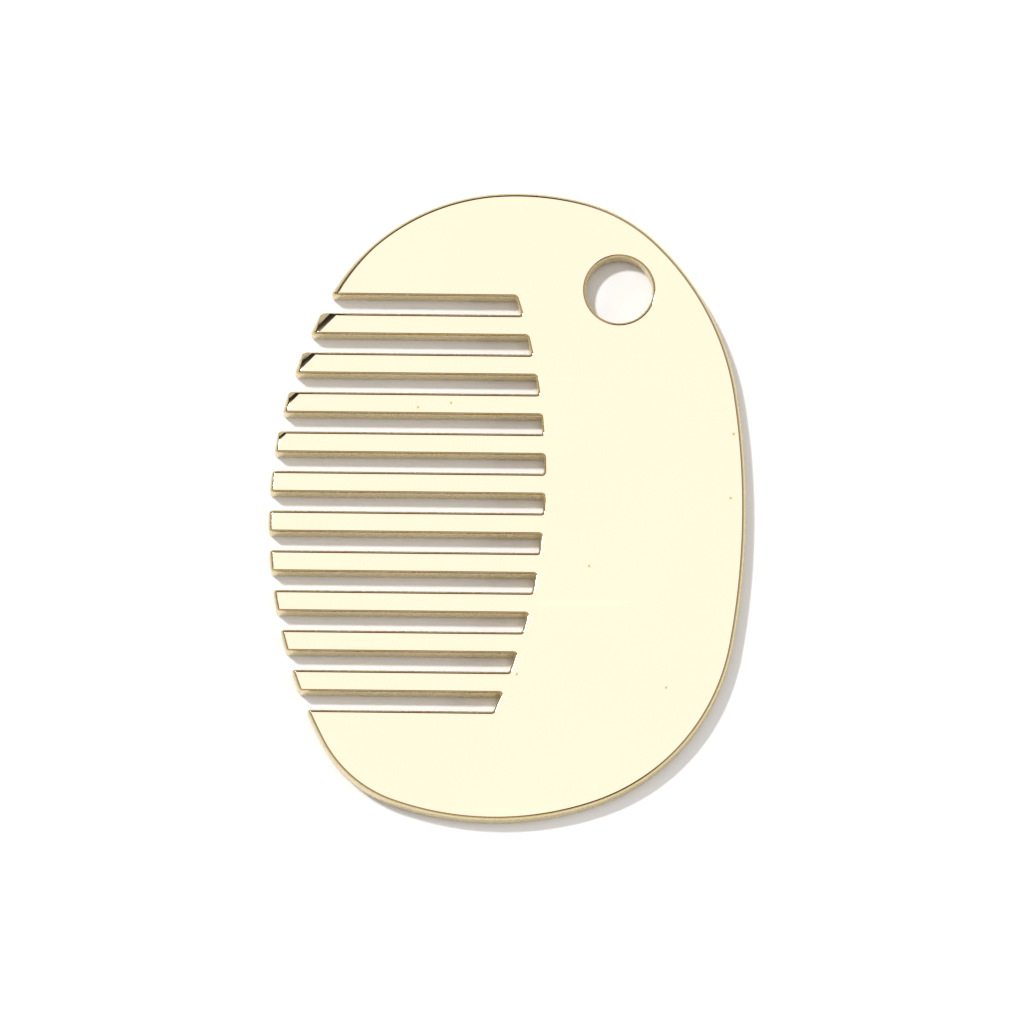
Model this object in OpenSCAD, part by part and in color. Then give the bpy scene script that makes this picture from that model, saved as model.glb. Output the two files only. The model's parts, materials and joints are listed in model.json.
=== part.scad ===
// Oval beard comb cut from one thick metal plate, with every edge rounded and polished.
// It lies flat: +Z goes up through the plate, +Y runs along the comb towards its ring hole,
// the teeth point to -X. The origin is under the middle of the plate, on its lower face.

/* [Plate] */
// Overall length of the plate
comb_l = 75; // [68:0.5:85]
// Thickness of the plate
plate_t = 4; // [3:0.1:5]
// Radius of the polished rounding along the rim
edge_r = 0.45; // [0.1:0.05:0.5]
// Flats that the rounding is drawn with
edge_steps = 3; // [1:1:3]

/* [Rim arcs, drawn for a comb 75 mm long] */
// Radius of the long, nearly straight right side
right_r = 90.5; // [87:0.5:94]
// Radius of the shoulder between the right side and the upper right corner
upper_shoulder_r = 32; // [31:0.5:33]
// Radius of the upper right corner
upper_right_r = 19.5; // [19:0.5:20]
// Radius of the crown at the top
top_r = 32; // [31:0.5:33]
// Radius of the upper left corner
upper_left_r = 25; // [24.5:0.5:25.5]
// Radius of the lower left corner
lower_left_r = 15; // [14:0.5:16]
// Radius of the lower right corner
lower_right_r = 24.5; // [23.5:0.5:25.5]
// Radius of the shoulder between the lower right corner and the right side
lower_shoulder_r = 26; // [25:0.5:27]

/* [Slots and teeth] */
// Number of slots; there is one tooth fewer
slot_count = 11; // [7:2:11]
// Distance from one slot to the next
slot_pitch = 4.75; // [4.5:0.05:4.9]
// Width of a slot between its straight walls
slot_w = 2.2; // [1.6:0.1:2.8]
// Height of the middle slot above the middle of the plate
slot_mid_y = 0.2; // [-1:0.1:1]
// Radius of the arc that the blind ends of the slots lie on
slot_end_r = 70; // [60:1:90]
// Furthest reach of that arc to the right of the middle
slot_end_x = 4.3; // [0:0.1:6]
// Height of that furthest point above the middle
slot_end_y = 3; // [0:0.5:5]

/* [Ring hole] */
// Diameter of the hole for a key ring or a hook
hole_d = 8; // [5:0.5:8.5]
// Distance of the hole to the right of the middle
hole_x = 13; // [11:0.5:14]
// Distance of the hole above the middle
hole_y = 26; // [24:0.5:26.5]

/* [Hidden] */
$fn = 180;

// Length that the radii and places above are drawn for
drawn_l = 75;
// Flats that a whole turn of the rim is drawn with
rim_steps = 144;
// Width of the band of metal that each arc of the rim is drawn with
rim_band = 1;
// How far a cutter runs past the metal
over = 1;

// Direction of the rim's outward normal where each arc starts, going anticlockwise
arc_from = [-10, 9, 47, 76, 94, 152, 208, 251, 289, 336];
last_arc = len(arc_from) - 1;
// Places in that list of the four arcs that reach furthest right, up, left and down
right = 0;
top = 3;
left = 5;
bottom = 7;

function unit(a) = [cos(a), sin(a)];
function arc_to(i) = i < last_arc ? arc_from[i + 1] : arc_from[0] + 360;
function arc_step(i) = unit(arc_to(i)) - unit(arc_from[i]);
function total(list, i = 0) = i < len(list) ? list[i] + total(list, i + 1) : [0, 0];

// The left side and the bottom have no radius of their own: theirs are the two that close the rim
open_r = [right_r, upper_shoulder_r, upper_right_r, top_r, upper_left_r, 0,
    lower_left_r, 0, lower_right_r, lower_shoulder_r];
gap = -total([for (i = [0:last_arc]) open_r[i] * arc_step(i)]);
left_r = cross(gap, arc_step(bottom)) / cross(arc_step(left), arc_step(bottom));
bottom_r = cross(arc_step(left), gap) / cross(arc_step(left), arc_step(bottom));
closed_r = [for (i = [0:last_arc]) i == left ? left_r : i == bottom ? bottom_r : open_r[i]];

// Neighbouring arcs share a tangent, so each centre lies in line with the one before it
function raw_centre(i) = i == 0 ? [0, 0]
    : raw_centre(i - 1) + (closed_r[i - 1] - closed_r[i]) * unit(arc_from[i]);
raw_right = raw_centre(right)[0] + closed_r[right];
raw_top = raw_centre(top)[1] + closed_r[top];
raw_left = raw_centre(left)[0] - closed_r[left];
raw_bottom = raw_centre(bottom)[1] - closed_r[bottom];
raw_middle = [raw_right + raw_left, raw_top + raw_bottom] / 2;

// The rim is brought to the overall length, and the other places in the plan follow the length
rim_scale = comb_l / (raw_top - raw_bottom);
plan_scale = comb_l / drawn_l;
arc_r = [for (r = closed_r) r * rim_scale];
arc_centre = [for (i = [0:last_arc]) (raw_centre(i) - raw_middle) * rim_scale];

lowest_slot_y = slot_mid_y - slot_pitch * (slot_count - 1) / 2;
slot_end_centre = [slot_end_x - slot_end_r, slot_end_y];

// Half of a rounded wall's edge, as [distance from the wall, height], from the face to the wall
edge = [for (k = [0:edge_steps]) edge_r * [1 - sin(90 * k / edge_steps), 1 - cos(90 * k / edge_steps)]];

// A wall's outline from the lower face to the upper one; side is -1 for metal's outer edge
function wall(x, side) = concat(
    [for (p = edge) [x + side * p[0], p[1]]],
    [for (k = [edge_steps:-1:0]) [x + side * edge[k][0], plate_t - edge[k][1]]]);

// A narrow band of metal along one arc of the rim
module rim_arc(i) {
    inner_r = arc_r[i] - rim_band;
    translate(arc_centre[i]) rotate(arc_from[i])
        rotate_extrude(angle = arc_to(i) - arc_from[i], $fn = rim_steps)
            polygon(concat([[inner_r, 0]], wall(arc_r[i], -1), [[inner_r, plate_t]]));
}

// The oval plate before it is cut: it bulges all round, so its rim's hull fills it
module blank() {
    hull() for (i = [0:last_arc]) rim_arc(i);
}

// Half of a cutter's cross-section, flared at both faces so that the wall's edges stay round
module cut_section(half_w) {
    flare = half_w + edge_r;
    polygon(concat([[0, -over], [flare, -over]], wall(half_w, 1),
        [[flare, plate_t + over], [0, plate_t + over]]));
}

module slot_cutter() {
    translate([-comb_l, 0, 0]) rotate([90, 0, 90]) linear_extrude(2 * comb_l) {
        cut_section(slot_w / 2);
        mirror([1, 0]) cut_section(slot_w / 2);
    }
}

// All the slots, ending together on one shallow arc
module slots() {
    intersection() {
        for (i = [0:slot_count - 1])
            translate([0, (lowest_slot_y + i * slot_pitch) * plan_scale, 0]) slot_cutter();
        translate(slot_end_centre * plan_scale) rotate_extrude()
            cut_section(slot_end_r * plan_scale);
    }
}

module ring_hole() {
    translate([hole_x, hole_y] * plan_scale) rotate_extrude() cut_section(hole_d / 2);
}

module comb_plate() {
    color("palegoldenrod") difference() {
        blank();
        slots();
        ring_hole();
    }
}

comb_plate();
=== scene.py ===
import json
import math

import bmesh
import bpy
from mathutils import Matrix, Vector
from mathutils.kdtree import KDTree


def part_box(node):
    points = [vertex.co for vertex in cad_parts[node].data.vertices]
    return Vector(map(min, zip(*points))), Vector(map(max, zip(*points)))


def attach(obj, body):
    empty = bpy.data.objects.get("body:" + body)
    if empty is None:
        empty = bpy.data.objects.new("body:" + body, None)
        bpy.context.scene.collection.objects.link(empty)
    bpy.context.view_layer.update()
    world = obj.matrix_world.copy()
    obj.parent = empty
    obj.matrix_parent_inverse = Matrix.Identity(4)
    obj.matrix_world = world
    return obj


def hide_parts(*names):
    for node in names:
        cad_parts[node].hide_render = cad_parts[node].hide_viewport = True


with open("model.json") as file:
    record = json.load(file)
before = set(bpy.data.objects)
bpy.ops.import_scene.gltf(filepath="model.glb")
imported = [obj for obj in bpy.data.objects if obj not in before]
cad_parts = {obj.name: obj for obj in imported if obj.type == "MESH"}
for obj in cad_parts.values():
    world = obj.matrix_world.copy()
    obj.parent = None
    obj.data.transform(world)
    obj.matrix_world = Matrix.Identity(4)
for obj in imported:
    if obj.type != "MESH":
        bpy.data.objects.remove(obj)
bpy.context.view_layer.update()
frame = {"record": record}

# ---------------------------------------------------------------------------
# Comb blank
# The comb starts as one oval blank, cut from thick brass plate. Its rim is ten
# arcs that run into each other without a corner; two of them close the oval. The
# rim is buffed round above and below, and most of all beside the first teeth.
# ---------------------------------------------------------------------------
MM = 0.001
NEAR = 1e-4
plate_low, plate_high = [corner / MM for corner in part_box("comb_plate")]
plate_size = plate_high - plate_low
plate_middle = (plate_low + plate_high) / 2

# Each arc: direction of the outward normal where it starts, in degrees, and its radius in mm
RIM_ARCS = [
    ("right side", -10, 90.5),
    ("upper shoulder", 9, 32),
    ("upper right corner", 47, 19.5),
    ("top crown", 76, 32),
    ("upper left corner", 94, 25),
    ("tooth tips", 152, None),
    ("lower left corner", 208, 15),
    ("bottom crown", 251, None),
    ("lower right corner", 289, 24.5),
    ("lower shoulder", 336, 26),
]
DEGREES_PER_FACET = 1.0
SAME_POINT = 0.01

# The rounding is widest on the left at WIDEST_Y, and fades to the usual one above and below
RIM_ROUND = 0.45
RIM_SEGMENTS = 8
WIDEST_ROUND = 0.9
WIDEST_Y = 23
FADE_ABOVE = 8
FADE_BELOW = 15.5


def unit(degrees):
    """The direction at that many degrees from +X, in the plane of the plate."""
    return Vector((math.cos(math.radians(degrees)), math.sin(math.radians(degrees)), 0))


def arc_sweeps():
    """(start, end, radius) of each arc, with the two open radii worked out so that the rim closes."""
    starts = [start for _, start, _ in RIM_ARCS]
    ends = starts[1:] + [starts[0] + 360]
    steps = [unit(end) - unit(start) for start, end in zip(starts, ends)]
    radii = [radius for _, _, radius in RIM_ARCS]
    gap = Vector((0, 0, 0))
    for radius, step in zip(radii, steps):
        if radius:
            gap -= radius * step
    tips, bottom = [step for radius, step in zip(radii, steps) if not radius]
    turn = tips.to_2d().cross(bottom.to_2d())
    closing = [gap.to_2d().cross(bottom.to_2d()) / turn, tips.to_2d().cross(gap.to_2d()) / turn]
    return [(a, b, r or closing.pop(0)) for a, b, r in zip(starts, ends, radii)]


def is_flat(edge):
    """True for an edge that lies in one level, such as the edges of the two broad faces."""
    return abs(edge.verts[0].co.z - edge.verts[1].co.z) < NEAR


def round_edges(edges, offset, segments):
    """Rounds those edges of the comb."""
    bmesh.ops.bevel(
        comb_shape, geom=edges, offset=offset, offset_type="OFFSET", segments=segments,
        profile=0.5, affect="EDGES", clamp_overlap=False, material=-1)


def rim_round(corner):
    """Radius of the rim's rounding at a corner of the blank."""
    above = corner.y - WIDEST_Y
    reach = FADE_ABOVE if above > 0 else FADE_BELOW
    share = max(0, 1 - abs(above) / reach) if corner.x < 0 else 0
    return RIM_ROUND + (WIDEST_ROUND - RIM_ROUND) * share


# The outline: one point is spun round the centre of each arc in turn
comb_shape = bmesh.new()
rim_point = comb_shape.verts.new((0, 0, 0))
for start, end, radius in arc_sweeps():
    swept = bmesh.ops.spin(
        comb_shape, geom=[rim_point], cent=rim_point.co - radius * unit(start), axis=(0, 0, 1),
        angle=math.radians(end - start), steps=round((end - start) / DEGREES_PER_FACET))
    rim_point = next(v for v in swept["geom_last"] if isinstance(v, bmesh.types.BMVert))
bmesh.ops.remove_doubles(comb_shape, verts=comb_shape.verts, dist=SAME_POINT)

# The outline is brought to the plate's own length and width, and raised to its thickness
xs = [v.co.x for v in comb_shape.verts]
ys = [v.co.y for v in comb_shape.verts]
rim_middle = Vector(((max(xs) + min(xs)) / 2, (max(ys) + min(ys)) / 2, 0))
fit = (plate_size.x / (max(xs) - min(xs)), plate_size.y / (max(ys) - min(ys)), 1)
bmesh.ops.translate(comb_shape, verts=comb_shape.verts, vec=-rim_middle)
bmesh.ops.scale(comb_shape, verts=comb_shape.verts, vec=fit)
bmesh.ops.translate(
    comb_shape, verts=comb_shape.verts, vec=(plate_middle.x, plate_middle.y, plate_low.z))
bmesh.ops.contextual_create(comb_shape, geom=comb_shape.edges[:])
raised = bmesh.ops.extrude_face_region(comb_shape, geom=comb_shape.faces[:], use_keep_orig=True)
bmesh.ops.translate(
    comb_shape, verts=[g for g in raised["geom"] if isinstance(g, bmesh.types.BMVert)],
    vec=(0, 0, plate_size.z))
bmesh.ops.recalc_face_normals(comb_shape, faces=comb_shape.faces[:])

# The rounding is made the same all round, then widened about the sharp corner that it replaces
rim_corners = KDTree(len(comb_shape.verts))
for i, v in enumerate(comb_shape.verts):
    rim_corners.insert(v.co, i)
rim_corners.balance()
round_edges([e for e in comb_shape.edges if is_flat(e)], RIM_ROUND, RIM_SEGMENTS)
for v in comb_shape.verts:
    corner = rim_corners.find(v.co)[0]
    v.co = corner + (v.co - corner) * rim_round(corner) / RIM_ROUND

# ---------------------------------------------------------------------------
# Slots and teeth
# Eleven parallel slots are sawn in from the left and leave ten teeth. Their blind
# ends lie on one shallow arc, and their corners are slightly round from the cutter.
# ---------------------------------------------------------------------------
SLOT_COUNT = 11
SLOT_PITCH = 4.75
SLOT_WIDTH = 2.2
MIDDLE_SLOT_Y = 0.2
SLOT_END_RADIUS = 70
SLOT_END_APEX = Vector((4.3, 3, 0))
SLOT_CORNER = 0.22
SLOT_CORNER_SEGMENTS = 4
BLIND_END_BAND = 0.3
SPINE_X = 6
BROAD = 0.999
slot_end_centre = SLOT_END_APEX - Vector((SLOT_END_RADIUS, 0, 0))
slot_rows = [MIDDLE_SLOT_Y + SLOT_PITCH * (i - (SLOT_COUNT - 1) / 2) for i in range(SLOT_COUNT)]


def cut(faces, point, normal, clear_outer=False):
    """Splits those faces where a plane crosses them, and returns the new edges."""
    edges = dict.fromkeys(e for f in faces for e in f.edges)
    verts = dict.fromkeys(v for f in faces for v in f.verts)
    parted = bmesh.ops.bisect_plane(
        comb_shape, geom=[*faces, *edges, *verts], dist=NEAR,
        plane_co=point, plane_no=normal, clear_outer=clear_outer)
    return [g for g in parted["geom_cut"] if isinstance(g, bmesh.types.BMEdge)]


def tooth_side():
    """The faces to the left of the spine."""
    return [f for f in comb_shape.faces if f.calc_center_bounds().x < SPINE_X]


def in_slot(face, y):
    """True for a face in the strip that the slot at y takes away."""
    return abs(face.calc_center_bounds().y - y) < SLOT_WIDTH / 2 - NEAR


def is_broad(face):
    """True for a face that lies level, as the comb's upper and lower faces do."""
    return abs(face.normal.z) > BROAD


def within(item, y, half_width):
    """True for an edge or a face with all its corners that near to y."""
    return all(abs(v.co.y - y) < half_width + NEAR for v in item.verts)


# The plate is cut along both walls of each slot and across its blind end, and the waste goes
cut(comb_shape.faces[:], (SPINE_X, 0, 0), (1, 0, 0))
for y in slot_rows:
    for wall_y in (y - SLOT_WIDTH / 2, y + SLOT_WIDTH / 2):
        cut(tooth_side(), (0, wall_y, 0), (0, 1, 0))
for y in slot_rows:
    reach = math.sqrt(SLOT_END_RADIUS ** 2 - (y - slot_end_centre.y) ** 2)
    end = slot_end_centre + Vector((reach, y - slot_end_centre.y, 0))
    outwards = (end - slot_end_centre).normalized()
    cut([f for f in tooth_side() if in_slot(f, y)], end, outwards)
    waste = [
        f for f in tooth_side() if in_slot(f, y)
        and max((v.co - end).dot(outwards) for v in f.verts) < NEAR]
    bmesh.ops.delete(comb_shape, geom=waste, context="FACES")
spare_edges = [
    e for e in comb_shape.edges
    if len(e.link_faces) == 2 and all(is_broad(f) for f in e.link_faces)
    and min(v.co.x for v in e.verts) < SPINE_X - NEAR]
bmesh.ops.dissolve_edges(comb_shape, edges=spare_edges)

# Each slot gets an upright edge in both blind corners, then two side walls and an end wall
for y in slot_rows:
    mouth = [e for e in comb_shape.edges if e.is_boundary and within(e, y, SLOT_WIDTH / 2)]
    walls = [[e for e in mouth if within(e, y + side * SLOT_WIDTH / 2, 0)] for side in (-1, 1)]
    end_wall = [e for e in mouth if e not in walls[0] and e not in walls[1]]
    end_corners = {v for e in end_wall for v in e.verts}
    for wall in walls:
        upright = comb_shape.edges.new(
            dict.fromkeys(v for e in wall for v in e.verts if v in end_corners))
        bmesh.ops.contextual_create(comb_shape, geom=wall + [upright])
        end_wall.append(upright)
    bmesh.ops.contextual_create(comb_shape, geom=end_wall)
bmesh.ops.recalc_face_normals(comb_shape, faces=comb_shape.faces[:])

blind_corners = [
    e for e in comb_shape.edges
    if abs(e.verts[0].co.z - e.verts[1].co.z) > plate_size.z - NEAR
    and abs((e.verts[0].co.xy - slot_end_centre.xy).length - SLOT_END_RADIUS) < BLIND_END_BAND]
round_edges(blind_corners, SLOT_CORNER, SLOT_CORNER_SEGMENTS)

# ---------------------------------------------------------------------------
# Ring hole
# A plain drilled hole in the upper right of the plate, where a key ring or a hook
# goes through. Nothing is fitted in it.
# ---------------------------------------------------------------------------
ring_hole = next(m for m in frame["record"]["mounts"] if m["name"] == "ring_hole")
hole_centre = Vector(ring_hole["pos_m"]) / MM
hole_radius = ring_hole["dims"]["r_mm"]
HOLE_SIDES = 128
WINDOW_INSET = 0.1
window_half = 1.15 * hole_radius


def window_at(level, sides):
    """The face of that level that the hole goes through, once that many of its sides are cut."""
    inside = [
        f for f in comb_shape.faces
        if abs(f.calc_center_bounds().z - level) < NEAR and f.calc_center_bounds().x > SPINE_X
        and all((v.co - hole_centre).dot(unit(90 * side)) < window_half + NEAR
                for v in f.verts for side in range(sides))]
    return max(inside, key=lambda f: f.calc_area())


# A square window in both broad faces is drawn in to a circle, and the two circles are joined
bore_rims = []
for level in (plate_low.z, plate_high.z):
    for side in range(4):
        cut([window_at(level, side)], hole_centre + window_half * unit(90 * side), unit(90 * side))
    window = window_at(level, 4)
    bmesh.ops.subdivide_edges(comb_shape, edges=window.edges[:], cuts=HOLE_SIDES // 4 - 1)
    window = window_at(level, 4)
    bmesh.ops.inset_region(
        comb_shape, faces=[window], thickness=WINDOW_INSET, use_even_offset=True)
    for v in window.verts:
        v.co.xy = hole_centre.xy + (v.co - hole_centre).xy.normalized() * hole_radius
    bore_rims += window.edges[:]
    bmesh.ops.delete(comb_shape, geom=[window], context="FACES_ONLY")
bmesh.ops.bridge_loops(comb_shape, edges=bore_rims)
bmesh.ops.recalc_face_normals(comb_shape, faces=comb_shape.faces[:])

# ---------------------------------------------------------------------------
# Buffed slots, hole and tooth tips
# After sawing and drilling, the slots and the hole are buffed too, less than the rim.
# The upper corner of each of the first teeth is ground away and rolls off to its tip.
# ---------------------------------------------------------------------------
SLOT_ROUND = 0.34
SLOT_SEGMENTS = 6
UPRIGHT = 0.01
CLEAR_OF_ROUND = 1.15 * SLOT_ROUND
MERGE_PASSES = 3
TEETH_SPLIT_X = -3
TOOTH_WIDTH = SLOT_PITCH - SLOT_WIDTH

# Each rolled tip: the tooth, counted from the top, and the length of its roll in mm
ROLLED_TIPS = [(1, 1.2), (2, 1.0), (3, 0.8), (4, 0.65)]
ROLL_ASPECT = 1.05
ROLL_RADIUS = 2.0
ROLL_SLOPES = (5, 11, 17, 23, 29, 35)
TIP_REACH = 3


def is_sawn(face):
    """True for a wall of a slot or of the ring hole."""
    on_slot_wall = face.calc_center_bounds().x < SPINE_X and any(
        within(face, y, SLOT_WIDTH / 2) for y in slot_rows)
    in_bore = all(
        abs((v.co.xy - hole_centre.xy).length - hole_radius) < NEAR for v in face.verts)
    return abs(face.normal.z) < UPRIGHT and (on_slot_wall or in_bore)


def many_sided():
    """The broad faces with many corners, to the left of the spine."""
    return [f for f in tooth_side() if is_broad(f) and len(f.verts) > 4]


def on_tooth(middle_y, end_x):
    """The faces of one tooth that lie wholly to the left of end_x."""
    return [f for f in comb_shape.faces if within(f, middle_y, TOOTH_WIDTH / 2)
            and all(v.co.x < end_x + NEAR for v in f.verts)]


def grind(faces, point, normal):
    """Takes away what stands proud of a plane, and closes the cut with a flat face."""
    rest = [e for e in cut(faces, point, normal, clear_outer=True) if e.is_boundary]
    if rest:
        bmesh.ops.contextual_create(comb_shape, geom=rest)


# A corner of the rim that is closer to a slot than the rounding reaches joins the slot's corner
for _ in range(MERGE_PASSES):
    merged = {}
    for wall_y, side in [(y + side * SLOT_WIDTH / 2, side) for y in slot_rows for side in (-1, 1)]:
        for e in comb_shape.edges:
            for slot_corner, other in (e.verts[:], reversed(e.verts[:])):
                if (is_flat(e) and abs(slot_corner.co.y - wall_y) < NEAR
                        and NEAR < side * (other.co.y - wall_y) < CLEAR_OF_ROUND):
                    merged[other] = slot_corner
    bmesh.ops.weld_verts(comb_shape, targetmap=merged)

sawn = {f for f in comb_shape.faces if is_sawn(f)}
sawn_edges = [e for e in comb_shape.edges if sum(f in sawn for f in e.link_faces) == 1]
round_edges(sawn_edges, SLOT_ROUND, SLOT_SEGMENTS)

# A line along each tooth keeps the broad faces simple, and all their corners lie in one plane
for y in slot_rows[:-1]:
    cut(many_sided(), (0, y + SLOT_PITCH / 2, 0), (0, 1, 0))
cut(many_sided(), (TEETH_SPLIT_X, 0, 0), (1, 0, 0))
for level in (plate_low.z, plate_high.z):
    for v in comb_shape.verts:
        if abs(v.co.z - level) < 10 * NEAR:
            v.co.z = level

# The tips are ground in a few passes, ever steeper, above and below
roll_outwards = Vector((-ROLL_ASPECT, 1, 0)).normalized()
for tooth, roll in ROLLED_TIPS:
    middle_y = slot_rows[-tooth] - SLOT_PITCH / 2
    corner_y = middle_y + TOOTH_WIDTH / 2 - SLOT_ROUND
    whole_tooth = on_tooth(middle_y, SPINE_X)
    tip_x = min(v.co.x for f in whole_tooth for v in f.verts
                if v.co.z > plate_high.z - NEAR and v.co.y > corner_y - NEAR)
    cut(whole_tooth, (tip_x + TIP_REACH, 0, 0), (1, 0, 0))
    radius = ROLL_RADIUS * roll
    for level, up in ((plate_high.z, 1), (plate_low.z, -1)):
        axis = Vector((tip_x + roll, corner_y, level - up * radius))
        for slope in ROLL_SLOPES:
            tilt = math.radians(slope)
            normal = math.sin(tilt) * roll_outwards + Vector((0, 0, up * math.cos(tilt)))
            grind(on_tooth(middle_y, tip_x + TIP_REACH), axis + radius * normal, normal)
bmesh.ops.recalc_face_normals(comb_shape, faces=comb_shape.faces[:])


def lie_of(corner):
    """The way that a corner's largest face looks; the square of the area lets the others drop out."""
    total = Vector((0, 0, 0))
    for face in corner.link_faces:
        total += (face.calc_area() / MM ** 2) ** 2 * face.normal
    return total.normalized()


# The finished comb, shaded so that its broad faces and walls stay flat between the roundings
bmesh.ops.scale(comb_shape, verts=comb_shape.verts, vec=(MM, MM, MM))
comb_mesh = bpy.data.meshes.new("comb")
comb_shape.to_mesh(comb_mesh)
comb_shape.normal_update()
lies = [lie_of(v) for v in comb_shape.verts]
comb_shape.free()
comb_mesh.shade_smooth()
comb_mesh.normals_split_custom_set_from_vertices(lies)
comb = bpy.data.objects.new("comb", comb_mesh)
bpy.context.scene.collection.objects.link(comb)
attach(comb, "root")
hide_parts("comb_plate")

# ---------------------------------------------------------------------------
# Polished gold finish
# The faces are a mirror polish with faint hairlines, a few pits and slow changes of
# gloss. The buffed edges and the sawn walls are duller and less even, and their gold is
# darker and more saturated: painted shade and painted reflection of the shaded floor.
# ---------------------------------------------------------------------------
FACE_GOLD = (0.95, 0.775, 0.53, 1)
# The edge gold is painted shade and painted reflection: darker and more saturated than the face gold
SHADED_EDGE_GOLD = (0.72, 0.59, 0.28, 1)
PIT_BROWN = (0.36, 0.30, 0.13, 1)
FACE_ROUGHNESS = 0.07
WALL_ROUGHNESS = 0.24
PIT_ROUGHNESS = 0.5
HAIRLINE_ROUGHNESS = 0.05
HAIRLINE_DEPTH = 0.05
WALL_GRAIN_DEPTH = 0.05
BUMP_STRENGTH = 0.25
BUMP_DEPTH = 0.02
SLOPING_FROM = 0.995
SLOPING_FULLY = 0.80

# Grains of the noise in a metre, and the range of the noise that most of it lies in
CLOUD_SCALE = 90
SPECKLE_SCALE = 1500
HAIRLINE_SCALE = 900
CROSS_HAIRLINE_SCALE = 700
HAIRLINE_STRETCH = (0.04, 1, 1)
HAIRLINE_TURN = 32
EVEN = (1, 1, 1)
MIDRANGE = (0.3, 0.7)
HAIRLINE_RANGE = (0.66, 0.74)
CROSS_HAIRLINE_RANGE = (0.68, 0.76)

# Places of the pits on the upper face, in mm
PITS = [(9.8, -7.2), (26.4, 1.1), (19, -21.6), (1.4, -20.2), (-10.6, 11.6), (-6.7, 12.2), (26.7, 8.8)]
PIT_SIZE = 0.24
PIT_FLOOR = 0.4


def feed(tree, value, socket):
    """Links a socket to another one, or sets it to a plain value."""
    if isinstance(value, bpy.types.NodeSocket):
        tree.links.new(value, socket)
    else:
        socket.default_value = value


def worked_out(tree, operation, first, second=0):
    """One sum on two sockets or numbers."""
    node = tree.nodes.new("ShaderNodeMath")
    node.operation = operation
    feed(tree, first, node.inputs[0])
    feed(tree, second, node.inputs[1])
    return node.outputs["Value"]


def ranged(tree, value, low, high, to_low, to_high):
    """Passes smoothly from to_low to to_high as the value goes from low to high."""
    node = tree.nodes.new("ShaderNodeMapRange")
    node.interpolation_type = "SMOOTHSTEP"
    for name, number in zip(("Value", "From Min", "From Max", "To Min", "To Max"),
                            (value, low, high, to_low, to_high)):
        feed(tree, number, node.inputs[name])
    return node.outputs["Result"]


def mixed(tree, kind, share, first, second):
    """Passes from the first value or colour to the second as the share goes from zero to one."""
    node = tree.nodes.new("ShaderNodeMix")
    node.data_type = kind
    for name, value in (("Factor", share), ("A", first), ("B", second)):
        feed(tree, value, node.inputs[name])
    return node.outputs["Result"]


def grain(tree, scale, detail, stretch=EVEN, turn=0):
    """Noise fixed to the metal, drawn out along the direction that is turn degrees round."""
    mapping = tree.nodes.new("ShaderNodeMapping")
    mapping.inputs["Rotation"].default_value = (0, 0, math.radians(turn))
    mapping.inputs["Scale"].default_value = stretch
    noise = tree.nodes.new("ShaderNodeTexNoise")
    noise.inputs["Scale"].default_value = scale
    noise.inputs["Detail"].default_value = detail
    tree.links.new(place.outputs["Object"], mapping.inputs["Vector"])
    tree.links.new(mapping.outputs["Vector"], noise.inputs["Vector"])
    return noise.outputs["Fac"]


gold = bpy.data.materials.new("polished_gold")
gold.use_nodes = True
metal = gold.node_tree
shader = metal.nodes["Principled BSDF"]
shader.inputs["Metallic"].default_value = 1
place = metal.nodes.new("ShaderNodeTexCoord")

# Where the metal slopes away from the broad faces, and the fine marks on it
facing = metal.nodes.new("ShaderNodeSeparateXYZ")
metal.links.new(place.outputs["Normal"], facing.inputs["Vector"])
level_share = worked_out(metal, "ABSOLUTE", facing.outputs["Z"])
sloping = ranged(metal, level_share, SLOPING_FULLY, SLOPING_FROM, 1, 0)
cloudy = grain(metal, CLOUD_SCALE, 3)
speckle = grain(metal, SPECKLE_SCALE, 2)
hairlines = grain(metal, HAIRLINE_SCALE, 1, HAIRLINE_STRETCH, HAIRLINE_TURN)
cross_hairlines = grain(metal, CROSS_HAIRLINE_SCALE, 1, HAIRLINE_STRETCH, HAIRLINE_TURN - 90)
scratches = worked_out(
    metal, "MAXIMUM", ranged(metal, hairlines, *HAIRLINE_RANGE, 0, 1),
    ranged(metal, cross_hairlines, *CROSS_HAIRLINE_RANGE, 0, 1))
pitted = 0
for x, y in PITS:
    from_pit = metal.nodes.new("ShaderNodeVectorMath")
    from_pit.operation = "DISTANCE"
    from_pit.inputs[1].default_value = (x * MM, y * MM, plate_high.z * MM)
    metal.links.new(place.outputs["Object"], from_pit.inputs[0])
    pit = ranged(metal, from_pit.outputs["Value"], PIT_FLOOR * PIT_SIZE * MM, PIT_SIZE * MM, 1, 0)
    pitted = worked_out(metal, "MAXIMUM", pitted, pit)

# Colour: bright gold on the faces; on the edges and walls a darker, more saturated gold,
# which is painted shade and painted reflection of the shaded floor, uneven at random; and
# brown in the pits
painted_wall_shade = worked_out(metal, "MULTIPLY", sloping, ranged(metal, cloudy, *MIDRANGE, 0.8, 1))
gold_colour = mixed(metal, "RGBA", painted_wall_shade, FACE_GOLD, SHADED_EDGE_GOLD)
feed(metal, mixed(metal, "RGBA", pitted, gold_colour, PIT_BROWN), shader.inputs["Base Color"])

# Roughness: the hairlines dull the faces a little, and the walls are satin
face_roughness = worked_out(
    metal, "ADD",
    ranged(metal, cloudy, *MIDRANGE, FACE_ROUGHNESS - 0.02, FACE_ROUGHNESS + 0.03),
    worked_out(metal, "MULTIPLY", scratches, HAIRLINE_ROUGHNESS))
wall_roughness = ranged(metal, speckle, *MIDRANGE, WALL_ROUGHNESS - 0.06, WALL_ROUGHNESS + 0.08)
roughness = worked_out(
    metal, "MAXIMUM", mixed(metal, "FLOAT", sloping, face_roughness, wall_roughness),
    worked_out(metal, "MULTIPLY", pitted, PIT_ROUGHNESS))
feed(metal, roughness, shader.inputs["Roughness"])

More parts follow.
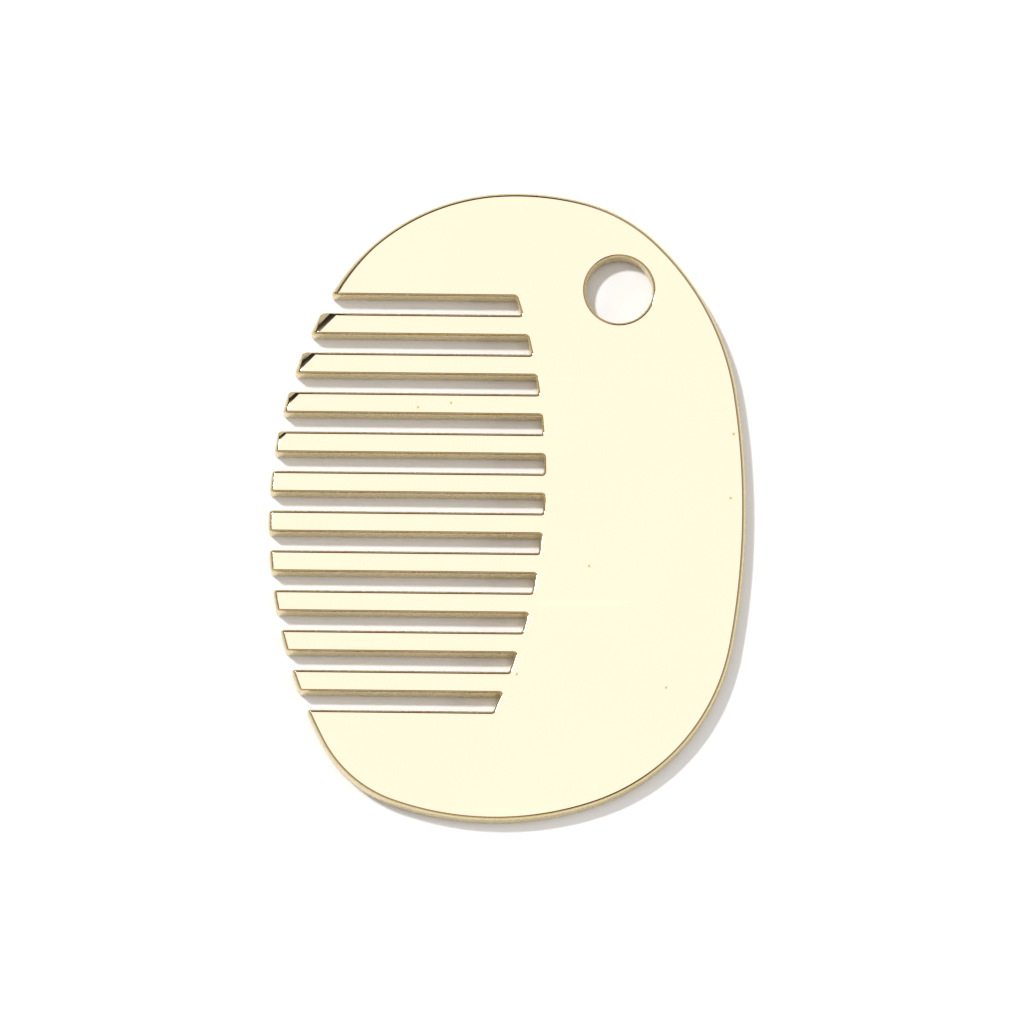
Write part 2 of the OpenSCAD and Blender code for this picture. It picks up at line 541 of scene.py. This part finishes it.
# Relief: a fine grain on the walls, and shallow hairlines and pits
wall_grain = worked_out(
    metal, "MULTIPLY", speckle, worked_out(metal, "MULTIPLY", sloping, WALL_GRAIN_DEPTH))
marks = worked_out(
    metal, "ADD", worked_out(metal, "MULTIPLY", scratches, HAIRLINE_DEPTH), pitted)
bump = metal.nodes.new("ShaderNodeBump")
bump.inputs["Strength"].default_value = BUMP_STRENGTH
bump.inputs["Distance"].default_value = BUMP_DEPTH * MM
feed(metal, worked_out(metal, "SUBTRACT", wall_grain, marks), bump.inputs["Height"])
feed(metal, bump.outputs["Normal"], shader.inputs["Normal"])
comb.data.materials.append(gold)

# ---------------------------------------------------------------------------
# Floor, light and camera
# The comb lies on plain white paper. A small lamp gives the soft-edged shadow, two
# soft boxes fill it, and the surroundings are what the gold mirrors.
# ---------------------------------------------------------------------------
FLOOR_REACH = 30.0
FLOOR_WHITE = 0.9
FLOOR_ROUGHNESS = 0.9
floor_shape = bmesh.new()
bmesh.ops.create_grid(floor_shape, x_segments=1, y_segments=1, size=FLOOR_REACH)
floor_mesh = bpy.data.meshes.new("floor")
floor_shape.to_mesh(floor_mesh)
floor_shape.free()
floor = bpy.data.objects.new("floor", floor_mesh)
bpy.context.scene.collection.objects.link(floor)
paper = bpy.data.materials.new("floor_paper")
paper.use_nodes = True
paper_shader = paper.node_tree.nodes["Principled BSDF"]
paper_shader.inputs["Base Color"].default_value = (FLOOR_WHITE, FLOOR_WHITE, FLOOR_WHITE, 1)
paper_shader.inputs["Roughness"].default_value = FLOOR_ROUGHNESS
paper_shader.inputs["Specular IOR Level"].default_value = 0.0
floor.data.materials.append(paper)

KEY_DIRECTION = Vector((-0.30, 0.25, 0.92))
KEY_ANGLE = 4.5
KEY_STRENGTH = 2.0
key_data = bpy.data.lights.new("key", "SUN")
key_data.angle = math.radians(KEY_ANGLE)
key_data.energy = KEY_STRENGTH
key = bpy.data.objects.new("key", key_data)
key.rotation_euler = KEY_DIRECTION.to_track_quat("Z", "Y").to_euler()
bpy.context.scene.collection.objects.link(key)


def soft_box(name, direction, distance, width, depth, floor_light):
    """A rectangular soft box, sized by the light that it gives to the floor under the comb."""
    direction = Vector(direction).normalized()
    data = bpy.data.lights.new(name, "AREA")
    data.shape = "RECTANGLE"
    data.size = width
    data.size_y = depth
    radiance = floor_light * math.pi / FLOOR_WHITE * distance ** 2 / (width * depth * direction.z)
    data.energy = radiance * math.pi * width * depth
    lamp = bpy.data.objects.new(name, data)
    lamp.location = direction * distance
    lamp.rotation_euler = direction.to_track_quat("Z", "Y").to_euler()
    lamp.visible_camera = False
    lamp.visible_glossy = False
    bpy.context.scene.collection.objects.link(lamp)


soft_box("overhead", (0, 0.05, 1), 2.0, 1.3, 0.4, 0.14)
soft_box("right_fill", (1, -0.2, 0.5), 2.0, 0.8, 0.8, 0.10)

# The surroundings: a bright panel overhead, a dim band below it with two dark gaps, and a
# lighter band all round near the floor. Angles are in degrees; a gap has the direction of its
# middle, and the angles from there where it is wholly dark and where it ends.
PANEL_TILT = -3
PANEL_HALF_ANGLES = (17.0, 21.0)
PANEL_LIGHT = (1.32, 1.245, 1.38, 1)
BAND_HEIGHTS = (0.47, 0.55)
LOW_BAND, HIGH_BAND, DARK_GAP = 0.72, 0.30, 0.02
DARK_GAPS = [(125, 35, 55), (-60, 12, 25)]
world = bpy.data.worlds.new("studio")
world.use_nodes = True
studio = world.node_tree
where = studio.nodes.new("ShaderNodeTexCoord").outputs["Generated"]


def near_direction(vector, direction, inner, outer):
    """One within the inner angle of a direction, and nothing past the outer angle."""
    dot = studio.nodes.new("ShaderNodeVectorMath")
    dot.operation = "DOT_PRODUCT"
    dot.inputs[1].default_value = direction
    studio.links.new(vector, dot.inputs[0])
    return ranged(
        studio, dot.outputs["Value"], math.cos(math.radians(outer)), math.cos(math.radians(inner)), 0, 1)


level_part = studio.nodes.new("ShaderNodeVectorMath")
level_part.operation = "MULTIPLY"
level_part.inputs[1].default_value = (1, 1, 0)
studio.links.new(where, level_part.inputs[0])
bearing = studio.nodes.new("ShaderNodeVectorMath")
bearing.operation = "NORMALIZE"
studio.links.new(level_part.outputs["Vector"], bearing.inputs[0])
gaps = [near_direction(bearing.outputs["Vector"], unit(at), inner, outer)
        for at, inner, outer in DARK_GAPS]
high_band = ranged(studio, worked_out(studio, "MAXIMUM", *gaps), 0, 1, HIGH_BAND, DARK_GAP)
height = studio.nodes.new("ShaderNodeSeparateXYZ")
studio.links.new(where, height.inputs["Vector"])
bands = mixed(
    studio, "FLOAT", ranged(studio, height.outputs["Z"], *BAND_HEIGHTS, 0, 1), LOW_BAND, high_band)
panel_tilt = math.radians(PANEL_TILT)
panel = near_direction(where, (0, math.sin(panel_tilt), math.cos(panel_tilt)), *PANEL_HALF_ANGLES)
feed(studio, mixed(studio, "RGBA", panel, bands, PANEL_LIGHT),
     studio.nodes["Background"].inputs["Color"])
bpy.context.scene.world = world
bpy.context.scene.view_settings.view_transform = "Standard"

# The camera looks down from a little to the near side, with a long lens
TILT = math.radians(9.6)
ROLL = math.radians(0.6)
LENS = 497.0
SENSOR = 36.0
FIELD_WIDTH = 120.832
AIM_X = 0.58
AIM_Y = -0.83
camera_data = bpy.data.cameras.new("camera")
camera_data.lens = LENS
camera_data.sensor_width = SENSOR
camera_data.clip_end = 20
camera = bpy.data.objects.new("camera", camera_data)
aim = Vector((AIM_X, AIM_Y, plate_high.z)) * MM
camera.matrix_world = (
    Matrix.Translation(aim) @ Matrix.Rotation(TILT, 4, "X") @ Matrix.Rotation(ROLL, 4, "Z")
    @ Matrix.Translation((0, 0, LENS / SENSOR * FIELD_WIDTH * MM)))
bpy.context.scene.collection.objects.link(camera)
bpy.context.scene.camera = camera

bpy.context.view_layer.update()
